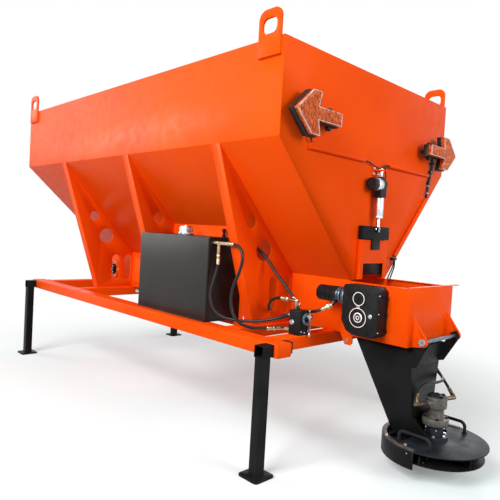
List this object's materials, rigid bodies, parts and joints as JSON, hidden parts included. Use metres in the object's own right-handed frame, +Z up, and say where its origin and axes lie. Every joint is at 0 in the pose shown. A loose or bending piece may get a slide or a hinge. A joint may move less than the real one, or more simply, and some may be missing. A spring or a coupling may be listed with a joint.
{
  "type": "demountable salt spreader",
  "caption": "Truck-bed hopper salt spreader on storage legs, with ribbed sides, chain conveyor, drop box, hinged spinner chute, hydraulic tank and arrow lamps.",
  "frame": {"origin": "on the floor under the middle of the whole machine", "axes": "+Z up, +Y forward towards the truck cab, +X to the machine's right"},
  "size_m": [1.98, 4.3, 2.587],
  "materials": {
    "orange_paint": "gloss",
    "black_paint": "satin",
    "cast_housing": "satin paint",
    "worn_steel": "worn",
    "bright_steel": "satin",
    "cast_aluminium": "satin",
    "yellow_zinc": "plated",
    "black_plastic": "satin",
    "amber_lens": "prismatic",
    "hose_rubber": "matt"
  },
  "bodies": {
    "frame": {"side_panel_left": "orange_paint", "side_panel_right": "orange_paint", "front_wall": "orange_paint", "rear_wall": "orange_paint", "lifting_eyes": "orange_paint", "ribs_left": "orange_paint", "ribs_right": "orange_paint", "trough_side_left": "orange_paint", "trough_side_right": "orange_paint", "trough_pan": "orange_paint", "conveyor_deck": "worn_steel", "box_rear": "orange_paint", "pivot_pin": "bright_steel", "rail_left": "orange_paint", "rail_right": "orange_paint", "cross_tubes": "orange_paint", "conveyor": "worn_steel", "drive_shaft": "bright_steel", "tail_shaft": "bright_steel", "shaft_bearings": "cast_housing", "gearbox": "cast_housing", "output_hub": "bright_steel", "conveyor_motor": "cast_housing", "gate_guide": "orange_paint", "actuator_body": "cast_aluminium", "actuator_motor": "cast_housing", "wall_fixtures": "orange_paint", "tank": "black_plastic", "tank_plate": "orange_paint", "filler_cap": "bright_steel", "hose_fittings": "yellow_zinc", "valve_block": "cast_housing", "valve_lever": "bright_steel", "lamp_housings": "black_plastic", "lamp_lenses": "amber_lens", "hose_return": "hose_rubber", "hose_loop": "hose_rubber", "hose_supply": "hose_rubber", "hose_feed": "hose_rubber", "hose_motor": "hose_rubber", "cable_main": "hose_rubber", "cable_actuator": "hose_rubber", "cable_low_a": "hose_rubber", "cable_low_b": "hose_rubber", "lamp_conduit": "black_plastic"},
    "chute": {"chute": "black_paint", "cover_plate": "black_paint", "skirt": "black_paint", "spinner_motor": "cast_housing", "spinner_fittings": "yellow_zinc", "handles": "black_paint", "hose_spinner_left": "hose_rubber", "hose_spinner_right": "hose_rubber"},
    "disc": {"spinner_disc": "black_paint"},
    "gate": {"gate": "black_paint", "actuator_rod": "bright_steel"},
    "leg_rear_left": {"leg_rear_left": "black_paint"},
    "leg_rear_right": {"leg_rear_right": "black_paint"},
    "leg_front_left": {"leg_front_left": "black_paint"},
    "leg_front_right": {"leg_front_right": "black_paint"}
  },
  "joints": [
    {"name": "chute_swing", "type": "hinge", "parent": "frame", "child": "chute", "pos_m": [0, -1.84, 0.795], "axis": [-1, 0, 0], "range_deg": [0, 90]},
    {"name": "disc_spin", "type": "hinge", "parent": "chute", "child": "disc", "pos_m": [0, -1.845, 0.12], "axis": [0, 0, 1], "continuous": true},
    {"name": "gate_lift", "type": "slide", "parent": "frame", "child": "gate", "axis": [0, 0, 1], "range_m": [0, 0.05]},
    {"name": "leg_rear_left_slide", "type": "slide", "parent": "frame", "child": "leg_rear_left", "axis": [-1, 0, 0], "range_m": [0, 0.14]},
    {"name": "leg_rear_right_slide", "type": "slide", "parent": "frame", "child": "leg_rear_right", "axis": [1, 0, 0], "range_m": [0, 0.14]},
    {"name": "leg_front_left_slide", "type": "slide", "parent": "frame", "child": "leg_front_left", "axis": [-1, 0, 0], "range_m": [0, 0.14]},
    {"name": "leg_front_right_slide", "type": "slide", "parent": "frame", "child": "leg_front_right", "axis": [1, 0, 0], "range_m": [0, 0.14]}
  ]
}
